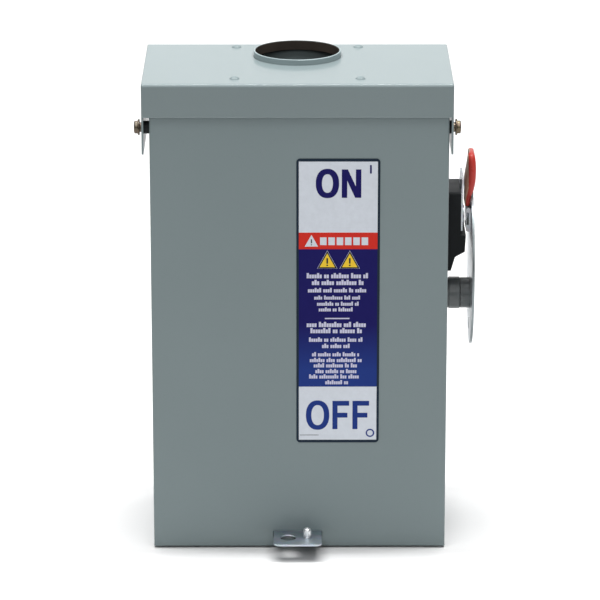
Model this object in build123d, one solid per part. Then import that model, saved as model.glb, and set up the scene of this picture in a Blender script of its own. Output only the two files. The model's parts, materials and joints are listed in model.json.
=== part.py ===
from build123d import *
import os

# A wall-mounted, side-operated AC disconnect switch in a rainproof sheet-steel box.
# Millimetres. X to the right, Y towards the wall (the back plane is Y = 0), Z up.
# The origin is the centre of the four wall-mounting holes, on the back plane.

# Driving dimensions: enclosure
HOOD_WIDTH = 240.0
DEPTH = 135.0
HEIGHT = 380.0
SHEET = 1.5
BODY_WIDTH = 223.6        # box, outside its side walls
HOOD_FLANGE = 26.8        # drip flange at the front, below the top plate
HOOD_EAR = 56.0           # side ears that carry the hinge
DOOR_WIDTH = 231.0
DOOR_SHIFT = 1.4          # the door hangs a little to the right of the centre
DOOR_RETURN = 20.0        # depth of the door's folded edges
DOOR_GAP = 3.3            # door face behind the hood's front
HUB_RADIUS = 33.0         # conduit opening in the top
HUB_RIM = 4.6
HUB_Y = -39.0
HUB_SCREWS = tuple((sx * 48.5, y) for sx in (-1, 1) for y in (-116.5, -9.5))
MOUNT_X = 160.0           # spacing of the wall-mounting holes
MOUNT_Z = 300.0
MOUNT_HOLE = 4.0
KNOCKOUTS_BOTTOM = ((-62.0, -62.0, 17.5), (0.0, -62.0, 22.5), (62.0, -62.0, 17.5))
KNOCKOUT_SIDE = (-62.0, -150.0, 14.3)
KNOCKOUT_BACK = (0.0, -150.0, 17.5)
LABEL_X = 31.5
LABEL_Z = 14.7
LABEL_WIDTH = 64.8
LABEL_HEIGHT = 231.4

# Driving dimensions: hinge, hasp and operating handle
HINGE_Y = -124.0
HINGE_Z = 153.5
HINGE_PIN = 2.9
PIVOT_Y = -69.0
PIVOT_Z = 3.5
SHAFT_RADIUS = 6.0
BUSH_RADIUS = 9.0
RUNNING = 0.08            # radial clearance of a turning shaft
HASP_WIDTH = 38.0
HASP_THICK = 1.3
HASP_REACH = 31.5
HASP_RISE = 14.6          # top of the door's tab above the bottom of the box
PADLOCK_HOLE = 6.4
PADLOCK_X = -7.4
PADLOCK_REACH = 15.3      # padlock hole in front of the door's face
LOCK_SCREW_X = 7.6
LOCK_SCREW_REACH = 14.3
LOCK_SCREW_RADIUS = 3.2
PLATE_OUT = 138.6         # outer face of the handle plate
PLATE_THICK = 1.8
PLATE_Z = 25.0            # middle of the oval handle plate
PLATE_HALF_HEIGHT = 62.0
PLATE_HALF_WIDTH = 50.0
PLATE_HOLE = 4.8
PLATE_HOLE_Z = -22.0
GRIP_TOP = 120.8          # tip of the grip
GRIP_LENGTH = 44.0
GRIP_HALF = 14.0
NECK_Z = (57.0, 76.4)
HOUSING_RADIUS = 12.8
HOUSING_OUT = 129.2
BASE_OUT = 128.6          # upper outer face of the moulded base
BASE_FOOT_OUT = 132.6     # outer face of its thicker foot
BASE_Z = (28.0, 43.6, 57.0, 91.8)
BASE_HALF = 22.0
BASE_FIXING_Z = (60.0, 83.0)
LOCKOUT_THICK = 1.5
LOCKOUT_Z = (60.0, 90.0, 101.4)
LOCKOUT_LEAN = 0.6
EYELET_RADIUS = 8.5
EYELET_THICK = 1.2
EYELET_Z = 70.0

# Driving dimensions: switch mechanism
POLES = (-38.0, 34.0)     # X of the two blades
BLADE_THICK = 2.4
BLADE_TIP = 50.0          # blade tip radius about the shaft
BAR = 18.0                # square section of the rotor bar
JAW_GAP = 0.25
LEAF = 1.2
SLAB_FRONT = -16.0        # moulded base of the switch
SLAB_BACK = -5.0
SLAB_X = (-84.0, 88.0)
SLAB_Z = (PIVOT_Z - 76, PIVOT_Z + 90)
BASE_SCREWS = tuple((x, z) for x in (-74.0, 78.0) for z in (PIVOT_Z - 64, PIVOT_Z + 78))
LINE_LUG_Z = (PIVOT_Z + 64, PIVOT_Z + 84)
LOAD_LUG_Z = (PIVOT_Z - 60, PIVOT_Z - 40)
LUG_BACK = SLAB_FRONT - 2
LUG_FRONT = LUG_BACK - 18
SPRING_X = (89.5, 97.3)
SPRING_RADIUS = 10.0
SPRING_WIRE = 0.9
LEG_OFFSET = 0.25         # the spring's legs stand a little inside the coil
CRANK_X = (99.5, 103.5)
BEARING_X = ((-74.0, -68.0), (76.0, 82.0))
GROUND_X = (-40.0, 0.0)
GROUND_Z = -112.0
GROUND_SCREWS = tuple(GROUND_X[0] + 6 + 9.3 * n for n in range(4))

TOP = HEIGHT / 2
FLOOR = -HEIGHT / 2
FRONT = -DEPTH
HOOD_HALF = HOOD_WIDTH / 2
BODY_HALF = BODY_WIDTH / 2
BODY_IN = BODY_HALF - SHEET
DOOR_FACE = FRONT + DOOR_GAP
DOOR_BACK = DOOR_FACE + SHEET
DOOR_LEFT = DOOR_SHIFT - DOOR_WIDTH / 2
DOOR_RIGHT = DOOR_SHIFT + DOOR_WIDTH / 2
DOOR_TOP = HINGE_Z + 16.0
DOOR_BOTTOM = FLOOR + 1.4
BOX_FRONT = FRONT + 6.0
ENDWALL_Z = FLOOR + 5.5
PLATE_IN = PLATE_OUT - PLATE_THICK
HASP_TOP = FLOOR + HASP_RISE
HASP_FRONT = DOOR_FACE - HASP_REACH
PADLOCK_Y = DOOR_FACE - PADLOCK_REACH
LOCK_SCREW_Y = DOOR_FACE - LOCK_SCREW_REACH


def block(x0, x1, y0, y1, z0, z1):
    """A box given by its limits on each axis."""
    centre = Pos((x0 + x1) / 2, (y0 + y1) / 2, (z0 + z1) / 2)
    return centre * Box(abs(x1 - x0), abs(y1 - y0), abs(z1 - z0))


def rod_x(radius, x0, x1, y, z):
    return Pos((x0 + x1) / 2, y, z) * Rot(0, 90, 0) * Cylinder(radius, abs(x1 - x0))


def rod_y(radius, x, y0, y1, z):
    return Pos(x, (y0 + y1) / 2, z) * Rot(90, 0, 0) * Cylinder(radius, abs(y1 - y0))


def rod_z(radius, x, y, z0, z1):
    return Pos(x, y, (z0 + z1) / 2) * Cylinder(radius, abs(z1 - z0))


def hex_x(across, x0, x1, y, z):
    """A hexagonal prism along X, given across its flats."""
    outline = RegularPolygon(across / 2, 6, major_radius=False)
    prism = extrude(Plane.YZ * outline, abs(x1 - x0))
    return Pos(min(x0, x1), y, z) * prism


def hex_z(across, x, y, z0, z1):
    outline = RegularPolygon(across / 2, 6, major_radius=False)
    return Pos(x, y, min(z0, z1)) * extrude(outline, abs(z1 - z0))


def plate_yz(outline, x0, x1):
    """A flat plate across X, from an outline in (Y, Z)."""
    return Pos(min(x0, x1), 0, 0) * extrude(Plane.YZ * outline, abs(x1 - x0))


def corner_holes(radius, y0, y1):
    """The four wall-mounting holes through the back."""
    return [rod_y(radius, sx * MOUNT_X / 2, y0, y1, sz * MOUNT_Z / 2)
            for sx in (-1, 1) for sz in (-1, 1)]


def dome_head(radius, height, x, y, z):
    """A low domed head standing on a horizontal face at z."""
    ball = (radius ** 2 + height ** 2) / (2 * height)
    cap = Pos(x, y, z + height - ball) * Sphere(ball)
    return cap & block(x - radius, x + radius, y - radius, y + radius, z, z + height)


# ---------------------------------------------------------------- enclosure

def box_wrap():
    """Back and side walls folded from one sheet, with a lip at the front edge."""
    wrap = block(-BODY_HALF, BODY_HALF, -SHEET, 0, FLOOR, TOP - SHEET)
    for side in (-1, 1):
        out, inn = side * BODY_HALF, side * BODY_IN
        wall = block(inn, out, BOX_FRONT, 0, FLOOR, TOP - SHEET)
        lip = block(out, side * (BODY_HALF - 10), BOX_FRONT, BOX_FRONT + SHEET, FLOOR, TOP - SHEET)
        top_lip = block(out, side * (BODY_HALF - 12), BOX_FRONT, 0, TOP - 2 * SHEET, TOP - SHEET)
        wrap = wrap + wall + lip + top_lip
    hinge_room = block(-HOOD_HALF, HOOD_HALF, FRONT, HINGE_Y + 22, HINGE_Z - 22, TOP)
    toe_room = block(-HOOD_HALF, HOOD_HALF, FRONT, BOX_FRONT + 21, FLOOR, ENDWALL_Z)
    wrap = wrap - hinge_room - toe_room
    for hole in corner_holes(MOUNT_HOLE, -SHEET, 0):
        wrap = wrap - hole
    y, z, radius = KNOCKOUT_SIDE
    wrap = wrap - rod_x(radius, -BODY_HALF, -BODY_IN, y, z) - rod_x(radius, BODY_IN, BODY_HALF, y, z)
    x, z, radius = KNOCKOUT_BACK
    wrap = wrap - rod_y(radius, x, -SHEET, 0, z)
    wrap = wrap - rod_x(BUSH_RADIUS + 0.2, BODY_IN, BODY_HALF, PIVOT_Y, PIVOT_Z)
    for z in BASE_FIXING_Z:
        wrap = wrap - rod_x(2.2, BODY_IN, BODY_HALF, PIVOT_Y, z)
    return wrap


def bottom_endwall():
    """The floor of the box, with flanges turned up inside the walls."""
    floor = block(-BODY_IN, BODY_IN, BOX_FRONT + 2, -SHEET, ENDWALL_Z, ENDWALL_Z + SHEET)
    up = ENDWALL_Z + 12
    front = block(-100, 100, BOX_FRONT + 2, BOX_FRONT + 2 + SHEET, ENDWALL_Z, up)
    back = block(-BODY_IN, BODY_IN, -2 * SHEET, -SHEET, ENDWALL_Z, up)
    wall = floor + front + back
    for side in (-1, 1):
        inner = side * (BODY_IN - SHEET)
        wall = wall + block(side * BODY_IN, inner, BOX_FRONT + 8, -SHEET, ENDWALL_Z, up)
    wall = wall - block(-21, 21, BOX_FRONT, BOX_FRONT + 5, ENDWALL_Z + SHEET, up)
    for x, y, radius in KNOCKOUTS_BOTTOM:
        wall = wall - rod_z(radius, x, y, ENDWALL_Z, ENDWALL_Z + SHEET)
    return wall


def knockout_discs():
    """Partly punched discs, each held by two thin ties."""
    gap = 0.3
    tie = 0.8
    discs = []
    for x, y, radius in KNOCKOUTS_BOTTOM:
        disc = rod_z(radius - gap, x, y, ENDWALL_Z - 0.4, ENDWALL_Z + SHEET - 0.4)
        ties = block(x - radius, x + radius, y - tie, y + tie, ENDWALL_Z, ENDWALL_Z + 1)
        discs.append(disc + (ties & rod_z(radius, x, y, ENDWALL_Z, ENDWALL_Z + 1)))
    y, z, radius = KNOCKOUT_SIDE
    for side in (-1, 1):
        near, far = side * (BODY_IN + 0.3), side * (BODY_HALF + 0.3)
        disc = rod_x(radius - gap, near, far, y, z)
        ties = block(side * (BODY_IN + 0.4), side * BODY_HALF, y - tie, y + tie, z - radius, z + radius)
        discs.append(disc + (ties & rod_x(radius, side * (BODY_IN + 0.4), side * BODY_HALF, y, z)))
    x, z, radius = KNOCKOUT_BACK
    disc = rod_y(radius - gap, x, -SHEET - 0.4, -0.4, z)
    ties = block(x - tie, x + tie, -SHEET, -0.4, z - radius, z + radius)
    discs.append(disc + (ties & rod_y(radius, x, -SHEET, -0.4, z)))
    return discs


def rain_hood():
    """Top plate with a drip flange in front and an ear down each side."""
    plate = block(-HOOD_HALF, HOOD_HALF, FRONT, 0, TOP - SHEET, TOP)
    flange = block(-HOOD_HALF, HOOD_HALF, FRONT, FRONT + SHEET, TOP - HOOD_FLANGE, TOP)
    hood = plate + flange
    hood = fillet(hood.edges().filter_by(Axis.X).sort_by(lambda e: e.center().Z - e.center().Y)[-1], 2.6)
    for side in (-1, 1):
        out, inn = side * HOOD_HALF, side * (HOOD_HALF - SHEET)
        ear = block(inn, out, FRONT + SHEET + 0.3, 0, TOP - HOOD_EAR, TOP - SHEET)
        hood = hood + ear
        hood = hood - rod_x(HINGE_PIN + 0.3, inn, out, HINGE_Y, HINGE_Z)
    corners = hood.edges().filter_by(Axis.Y).filter_by(
        lambda e: abs(e.center().Z - (TOP - HOOD_FLANGE)) < 0.1 and abs(e.center().X) > HOOD_HALF - 1)
    hood = fillet(corners, 2.5)
    tops = hood.edges().filter_by(Axis.Y).filter_by(
        lambda e: abs(e.center().Z - TOP) < 0.1 and abs(e.center().X) > HOOD_HALF - 0.1)
    hood = fillet(tops, 1.2)
    hood = hood - rod_z(HUB_RADIUS + 1.7, 0, HUB_Y, TOP - SHEET, TOP)
    for x, y in HUB_SCREWS:
        hood = hood - rod_z(2.2, x, y, TOP - SHEET, TOP)
    return hood


def hub_plate():
    """Reinforcing plate under the hood with the raised rim of the conduit opening."""
    under = TOP - SHEET
    plate = block(-56, 56, -124, -3, under - SHEET, under)
    rim = rod_z(HUB_RADIUS + SHEET, 0, HUB_Y, under - SHEET, TOP + HUB_RIM)
    plate = plate + rim - rod_z(HUB_RADIUS, 0, HUB_Y, under - 2 * SHEET, TOP + HUB_RIM)
    lip = plate.edges().filter_by(GeomType.CIRCLE).filter_by(
        lambda e: abs(e.center().Z - TOP - HUB_RIM) < 0.1)
    plate = fillet(lip, 0.6)
    for x, y in HUB_SCREWS:
        plate = plate - rod_z(2.2, x, y, under - SHEET, under)
    return plate


def hub_screws():
    return [dome_head(4.0, 2.1, x, y, TOP) + rod_z(2.0, x, y, TOP - 8, TOP) for x, y in HUB_SCREWS]


def hub_nuts():
    z = TOP - 2 * SHEET
    return [hex_z(7.0, x, y, z - 3, z) - rod_z(2.0, x, y, z - 3, z) for x, y in HUB_SCREWS]


# -------------------------------------------------------------------- hinge

def hinge_side(side):
    """Outer and inner X of the door's side return on one side."""
    if side < 0:
        return DOOR_LEFT, DOOR_LEFT + SHEET
    return DOOR_RIGHT, DOOR_RIGHT - SHEET


def hinge_screws():
    """A pan-head screw through each ear and the door's side return."""
    screws = []
    for side in (-1, 1):
        outer, inner = hinge_side(side)
        seat = side * (HOOD_HALF + 1.6)
        end = inner - side * 5.5
        shank = rod_x(HINGE_PIN, end, seat, HINGE_Y, HINGE_Z)
        head = rod_x(6.3, seat, seat + side * 4.4, HINGE_Y, HINGE_Z)
        rim = head.edges().filter_by(GeomType.CIRCLE).sort_by(lambda e: side * e.center().X)[-1]
        head = fillet(rim, 2.2)
        screws.append(shank + head)
    return screws


def hinge_washers():
    return [rod_x(3.8, side * HOOD_HALF, side * (HOOD_HALF + 1.6), HINGE_Y, HINGE_Z)
            - rod_x(HINGE_PIN, side * HOOD_HALF, side * (HOOD_HALF + 1.6), HINGE_Y, HINGE_Z)
            for side in (-1, 1)]


def hinge_spacers():
    """Sleeves that keep the door's returns off the hood's ears."""
    sleeves = []
    for side in (-1, 1):
        outer, inner = hinge_side(side)
        a, b = outer + side * 0.3, side * (HOOD_HALF - SHEET)
        sleeves.append(rod_x(5.0, a, b, HINGE_Y, HINGE_Z) - rod_x(HINGE_PIN, a, b, HINGE_Y, HINGE_Z))
    return sleeves


def hinge_nuts():
    nuts = []
    for side in (-1, 1):
        outer, inner = hinge_side(side)
        a, b = inner - side * 0.3, inner - side * 4.3
        nuts.append(hex_x(10.0, a, b, HINGE_Y, HINGE_Z) - rod_x(HINGE_PIN, a, b, HINGE_Y, HINGE_Z))
    return nuts


# --------------------------------------------------------------------- door

def door():
    """Front door: a flat panel with its side and bottom edges folded back."""
    panel = block(DOOR_LEFT, DOOR_RIGHT, DOOR_FACE, DOOR_BACK, DOOR_BOTTOM, DOOR_TOP)
    rear = DOOR_FACE + DOOR_RETURN
    left = block(DOOR_LEFT, DOOR_LEFT + SHEET, DOOR_FACE, rear, DOOR_BOTTOM, DOOR_TOP)
    right = block(DOOR_RIGHT - SHEET, DOOR_RIGHT, DOOR_FACE, rear, DOOR_BOTTOM, DOOR_TOP)
    bottom = block(DOOR_LEFT, DOOR_RIGHT, DOOR_FACE, rear, DOOR_BOTTOM, DOOR_BOTTOM + SHEET)
    leaf = panel + left + right + bottom
    front_edges = leaf.edges().filter_by(lambda e: abs(e.center().Y - DOOR_FACE) < 0.01)
    front_edges = front_edges.filter_by(lambda e: abs(e.center().Z - DOOR_TOP) > 1)
    leaf = fillet(front_edges, 1.4)
    for side in (-1, 1):
        outer, inner = hinge_side(side)
        leaf = leaf - rod_x(HINGE_PIN + RUNNING, outer, inner, HINGE_Y, HINGE_Z)
    slot = block(-HASP_WIDTH / 2 - 0.5, HASP_WIDTH / 2 + 0.5, DOOR_FACE, DOOR_BACK, HASP_TOP - 5.6, HASP_TOP)
    return leaf - slot


def tab(top, front, rear):
    """A flat tab with rounded front corners and its padlock hole."""
    half = HASP_WIDTH / 2
    plate = block(-half, half, front, rear, top - HASP_THICK, top)
    corners = plate.edges().filter_by(Axis.Z).filter_by(lambda e: abs(e.center().Y - front) < 0.01)
    plate = fillet(corners, 5)
    return plate - rod_z(PADLOCK_HOLE, PADLOCK_X, PADLOCK_Y, top - HASP_THICK, top)


def door_hasp():
    """Tab through the door's slot, with a leg welded behind the panel."""
    plate = tab(HASP_TOP, HASP_FRONT, DOOR_BACK)
    leg = block(-HASP_WIDTH / 2, HASP_WIDTH / 2, DOOR_BACK, DOOR_BACK + HASP_THICK,
                HASP_TOP - HASP_THICK, HASP_TOP + 18)
    hasp = plate + leg
    return hasp - rod_z(LOCK_SCREW_RADIUS + 0.1, LOCK_SCREW_X, LOCK_SCREW_Y, HASP_TOP - HASP_THICK, HASP_TOP)


def box_hasp():
    """Tab under the door's tab, stepped down to the floor of the box."""
    top = HASP_TOP - HASP_THICK - 0.5
    plate = tab(top, HASP_FRONT + 6, -114)
    step = block(-HASP_WIDTH / 2, HASP_WIDTH / 2, -115.8, -114, ENDWALL_Z + SHEET, top)
    foot = block(-HASP_WIDTH / 2, HASP_WIDTH / 2, -115.8, -94,
                 ENDWALL_Z + SHEET, ENDWALL_Z + SHEET + HASP_THICK)
    hasp = plate + step + foot
    return hasp - rod_z(LOCK_SCREW_RADIUS + 0.6, LOCK_SCREW_X, LOCK_SCREW_Y, top - HASP_THICK, top)


def hasp_screw():
    """Captive locking screw with a rounded crown, held up clear of the box's tab."""
    low, high = HASP_TOP - HASP_THICK - 0.2, HASP_TOP + 7.6
    screw = rod_z(LOCK_SCREW_RADIUS, LOCK_SCREW_X, LOCK_SCREW_Y, low, high)
    crown = screw.edges().filter_by(GeomType.CIRCLE).sort_by(Axis.Z)[-1]
    return fillet(crown, 1.8)


def door_label():
    outline = RectangleRounded(LABEL_WIDTH, LABEL_HEIGHT, 3.0)
    return Pos(LABEL_X, DOOR_FACE, LABEL_Z) * Rot(90, 0, 0) * extrude(outline, 0.3)


# ---------------------------------------------------------- operating handle

def handle_plate():
    """Stamped oval plate with an arm that runs up inside the grip."""
    oval = Pos(PIVOT_Y, PLATE_Z) * Ellipse(PLATE_HALF_WIDTH, PLATE_HALF_HEIGHT)
    arm_low, arm_top = PLATE_Z + 30, GRIP_TOP - 6
    arm = Pos(PIVOT_Y, (arm_low + arm_top) / 2) * RectangleRounded(GRIP_HALF * 1.5, arm_top - arm_low, 6)
    plate = plate_yz(oval + arm, PLATE_IN, PLATE_OUT)
    plate = plate - rod_x(SHAFT_RADIUS, PLATE_IN, PLATE_OUT, PIVOT_Y, PIVOT_Z)
    return plate - rod_x(PLATE_HOLE, PLATE_IN, PLATE_OUT, PIVOT_Y, PLATE_HOLE_Z)


def handle_grip():
    """Moulded red grip over the end of the arm, leaning in at its lower end."""
    low = GRIP_TOP - GRIP_LENGTH
    outer = [(134.6, low), (138.2, low + 6), (140.4, low + 21), (140.6, low + 35), (139.4, GRIP_TOP - 2.5)]
    inner = [(137.6, GRIP_TOP), (135.2, GRIP_TOP - 2.5), (133.6, low + 35), (133.4, low + 19),
             (131.9, low + 2)]
    edge = Polyline(*outer, *inner, close=True)
    grip = Pos(0, PIVOT_Y, 0) * extrude(Plane.XZ * make_face(edge), GRIP_HALF, both=True)
    sides = grip.edges().filter_by(lambda e: abs(abs(e.center().Y - PIVOT_Y) - GRIP_HALF) < 0.01)
    return fillet(sides, 1.0) - handle_plate()


def handle_neck():
    """Short slotted stiffener on the inner face of the arm, below the grip."""
    low, high = NECK_Z
    neck = block(PLATE_IN - 3.8, PLATE_IN, PIVOT_Y - 11, PIVOT_Y + 11, low, high)
    foot = neck.edges().filter_by(Axis.X).filter_by(lambda e: abs(e.center().Z - low) < 0.01)
    return fillet(foot, 7) - block(PLATE_IN - 3.8, PLATE_IN, PIVOT_Y - 4, PIVOT_Y + 4, low + 5, low + 12)


def handle_hub():
    """Moving round hub between the shaft housing and the handle plate."""
    hub = rod_x(HOUSING_RADIUS - 0.6, HOUSING_OUT + 0.4, PLATE_IN, PIVOT_Y, PIVOT_Z)
    return hub - rod_x(SHAFT_RADIUS, HOUSING_OUT, PLATE_IN, PIVOT_Y, PIVOT_Z)


def handle_shaft():
    """Operating shaft from the handle through the wall to the far bearing."""
    shaft = rod_x(SHAFT_RADIUS, BEARING_X[0][0] - 3, PLATE_OUT + 1.9, PIVOT_Y, PIVOT_Z)
    return chamfer(shaft.edges().filter_by(GeomType.CIRCLE), 0.8)


def shaft_nut():
    nut = hex_x(17, PLATE_OUT, PLATE_OUT + 1.7, PIVOT_Y, PIVOT_Z)
    return nut - rod_x(SHAFT_RADIUS, PLATE_OUT, PLATE_OUT + 1.7, PIVOT_Y, PIVOT_Z)


def shaft_housing():
    """Fixed round housing on the wall that the handle's shaft turns in, in three steps."""
    first, second = BODY_HALF + 4.0, BODY_HALF + 8.6
    body = rod_x(HOUSING_RADIUS, BODY_HALF, first, PIVOT_Y, PIVOT_Z)
    body = body + rod_x(HOUSING_RADIUS - 0.8, first, second, PIVOT_Y, PIVOT_Z)
    body = body + rod_x(HOUSING_RADIUS, second, HOUSING_OUT, PIVOT_Y, PIVOT_Z)
    body = chamfer(body.edges().filter_by(GeomType.CIRCLE).sort_by(Axis.X)[-1], 0.6)
    return body - rod_x(BUSH_RADIUS, BODY_HALF, HOUSING_OUT, PIVOT_Y, PIVOT_Z)


def shaft_bushing():
    """Bronze bush through the housing and the wall."""
    bush = rod_x(BUSH_RADIUS, BODY_IN - 5, HOUSING_OUT, PIVOT_Y, PIVOT_Z)
    return bush - rod_x(SHAFT_RADIUS + RUNNING, BODY_IN - 5, HOUSING_OUT, PIVOT_Y, PIVOT_Z)


def bushing_nut():
    nut = hex_x(24, BODY_IN - 4.5, BODY_IN, PIVOT_Y, PIVOT_Z)
    return nut - rod_x(BUSH_RADIUS, BODY_IN - 4.5, BODY_IN, PIVOT_Y, PIVOT_Z)


def handle_base():
    """Black moulded base above the housing, thicker at its foot, which is cut on a slope."""
    low, knee, step, top = BASE_Z
    outline = Polyline((BODY_HALF, low), (BASE_FOOT_OUT - 11.6, low), (BASE_FOOT_OUT - 8.4, knee - 4.4),
                       (BASE_FOOT_OUT - 0.7, knee), (BASE_FOOT_OUT, step), (BASE_OUT, step),
                       (BASE_OUT, top), (BODY_HALF, top), close=True)
    base = Pos(0, PIVOT_Y, 0) * extrude(Plane.XZ * make_face(outline), BASE_HALF, both=True)
    crown = base.edges().filter_by(Axis.X).filter_by(lambda e: abs(e.center().Z - top) < 0.01)
    base = fillet(crown, 2)
    for z in BASE_FIXING_Z:
        base = base - rod_x(2.0, BODY_HALF, BODY_HALF + 10, PIVOT_Y, z)
    return base


def lockout_plate():
    """Zinc plate on the moulded base that a padlock can hold the handle to, with a leaning tip."""
    low, bend, top = LOCKOUT_Z
    near, far = BASE_OUT, BASE_OUT + LOCKOUT_THICK
    edge = Polyline((near, low), (far, low), (far, bend), (far + LOCKOUT_LEAN, top),
                    (near + LOCKOUT_LEAN, top), (near, bend), close=True)
    plate = Pos(0, PIVOT_Y, 0) * extrude(Plane.XZ * make_face(edge), 19, both=True)
    return plate - rod_x(PLATE_HOLE, near, far + LOCKOUT_LEAN, PIVOT_Y + 9, top - 9)


def lockout_rivets():
    """Two flanged eyelets that hold the lockout plate to the moulded base."""
    near = BASE_OUT + LOCKOUT_THICK
    far = near + EYELET_THICK
    eyelets = []
    for dy in (-9.5, 9.5):
        flange = rod_x(EYELET_RADIUS, near, far, PIVOT_Y + dy, EYELET_Z)
        rim = flange.edges().filter_by(GeomType.CIRCLE).sort_by(Axis.X)[-1]
        eyelets.append(fillet(rim, 0.8) - rod_x(3.2, near, far, PIVOT_Y + dy, EYELET_Z))
    return eyelets


def base_fixings():
    """Screws from inside the wall into the moulded base."""
    return [rod_x(2.0, BODY_IN, BODY_HALF + 9, PIVOT_Y, z) + rod_x(4.0, BODY_IN - 2.4, BODY_IN, PIVOT_Y, z)
            for z in BASE_FIXING_Z]


# ---------------------------------------------------------- switch mechanism

def switch_base():
    """Moulded insulating base on four feet against the back wall."""
    slab = block(*SLAB_X, SLAB_FRONT, SLAB_BACK, *SLAB_Z)
    slab = fillet(slab.edges().filter_by(Axis.Y), 6)
    for x, z in BASE_SCREWS:
        slab = slab + rod_y(8, x, SLAB_BACK, -SHEET, z)
    for x, z in BASE_SCREWS:
        slab = slab - rod_y(2.6, x, SLAB_FRONT, -SHEET, z)
    return slab


def base_screws():
    return [rod_y(2.5, x, SLAB_FRONT, -SHEET, z) + rod_y(4.6, x, SLAB_FRONT - 2.6, SLAB_FRONT, z)
            - block(x - 4.6, x + 4.6, SLAB_FRONT - 2.6, SLAB_FRONT - 1.6, z - 0.6, z + 0.6)
            for x, z in BASE_SCREWS]


def bearing_bracket(x0, x1):
    """Moulded bearing arm that carries the rotor's shaft."""
    arm = block(x0, x1, PIVOT_Y - 13, SLAB_FRONT, PIVOT_Z - 13, PIVOT_Z + 13)
    foot = block(x0 - 2, x1 + 2, SLAB_FRONT - 5, SLAB_FRONT, PIVOT_Z - 24, PIVOT_Z + 24)
    arm = arm + foot
    nose = arm.edges().filter_by(Axis.X).filter_by(lambda e: abs(e.center().Y - PIVOT_Y + 13) < 0.01)
    arm = fillet(nose, 10)
    return arm - rod_x(SHAFT_RADIUS + RUNNING, x0 - 2, x1 + 2, PIVOT_Y, PIVOT_Z)


def rotor_bar():
    """Square moulded bar that carries both blades on the shaft."""
    half = BAR / 2
    bar = block(-64, 72, PIVOT_Y - half, PIVOT_Y + half, PIVOT_Z - half, PIVOT_Z + half)
    return bar - rod_x(SHAFT_RADIUS, -64, 72, PIVOT_Y, PIVOT_Z)


def switch_blades():
    """A copper blade per pole: a disc about the bar and a knife up to the jaw."""
    blades = []
    half = BAR / 2
    for pole in POLES:
        x0, x1 = pole - BLADE_THICK / 2, pole + BLADE_THICK / 2
        disc = rod_x(20, x0, x1, PIVOT_Y, PIVOT_Z)
        knife = block(x0, x1, PIVOT_Y - 7, PIVOT_Y + 7, PIVOT_Z, PIVOT_Z + BLADE_TIP)
        tip = knife.edges().filter_by(Axis.X).filter_by(lambda e: e.center().Z > PIVOT_Z + BLADE_TIP - 1)
        blade = disc + fillet(tip, 3)
        hole = block(x0, x1, PIVOT_Y - half, PIVOT_Y + half, PIVOT_Z - half, PIVOT_Z + half)
        blades.append(blade - hole)
    return blades


def clip(pole, front, z0, z1, foot_z0, foot_z1):
    """Two copper leaves either side of a blade, joined behind it, on a terminal strap."""
    inner = BLADE_THICK / 2 + JAW_GAP
    outer = inner + LEAF
    piece = block(pole - outer, pole + outer, -32, SLAB_FRONT - 2, z0 + 4, z1 - 4)
    piece = piece + block(pole - outer, pole + outer, -34, -32, z0, z1)
    for side in (-1, 1):
        piece = piece + block(pole + side * inner, pole + side * outer, front, -32, z0, z1)
    return piece + block(pole - 7, pole + 7, SLAB_FRONT - 2, SLAB_FRONT, foot_z0, foot_z1)


def line_jaws():
    return [clip(pole, PIVOT_Y - 9, PIVOT_Z + 37, PIVOT_Z + 56, PIVOT_Z + 37, PIVOT_Z + 88) for pole in POLES]


def load_clips():
    front = PIVOT_Y + BAR * 0.5 * 2 ** 0.5 + 0.4
    return [clip(pole, front, PIVOT_Z - 10, PIVOT_Z + 10, PIVOT_Z - 64, PIVOT_Z + 10) for pole in POLES]


def lugs(span):
    """Box lugs for one wire each, open along Z, with a set-screw thread in front."""
    pieces = []
    for pole in POLES:
        lug = block(pole - 8, pole + 8, LUG_FRONT, LUG_BACK, *span)
        middle = (span[0] + span[1]) / 2
        lug = lug - rod_z(4.6, pole, LUG_BACK - 6.5, *span)
        pieces.append(lug - rod_y(4.0, pole, LUG_FRONT, LUG_BACK - 8, middle))
    return pieces


def lug_screws(span):
    middle = (span[0] + span[1]) / 2
    return [rod_y(4.0, pole, LUG_FRONT - 3, LUG_FRONT + 6.5, middle)
            - block(pole - 4, pole + 4, LUG_FRONT - 3, LUG_FRONT - 1.4, middle - 0.7, middle + 0.7)
            for pole in POLES]


def phase_barrier():
    """Insulating wall between the poles, open round the rotor bar."""
    wall = block(-4, -1, -100, SLAB_FRONT, SLAB_Z[0] + 4, SLAB_Z[1] - 4)
    corners = wall.edges().filter_by(Axis.X).filter_by(lambda e: e.center().Y < -90)
    return fillet(corners, 12) - rod_x(15, -4, -1, PIVOT_Y, PIVOT_Z)


def line_shield():
    """Clear shield that covers the live line terminals."""
    low, high = PIVOT_Z + 60, SLAB_Z[1]
    cover = block(-62, 66, -50, -48.5, low, high)
    for x in (-62, 64.5):
        cover = cover + block(x, x + 1.5, -50, SLAB_FRONT, low, high)
    return cover - block(-4.4, -0.6, -51, -48, low, high)


def drive_crank():
    """Stop arm keyed on the shaft beside the spring."""
    hub = rod_x(10.5, *CRANK_X, PIVOT_Y, PIVOT_Z)
    arm = block(*CRANK_X, PIVOT_Y - 5, PIVOT_Y + 5, PIVOT_Z - 26, PIVOT_Z)
    crank = hub + arm
    tip = crank.edges().filter_by(Axis.X).filter_by(lambda e: e.center().Z < PIVOT_Z - 25)
    return fillet(tip, 4) - rod_x(SHAFT_RADIUS, *CRANK_X, PIVOT_Y, PIVOT_Z)


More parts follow.
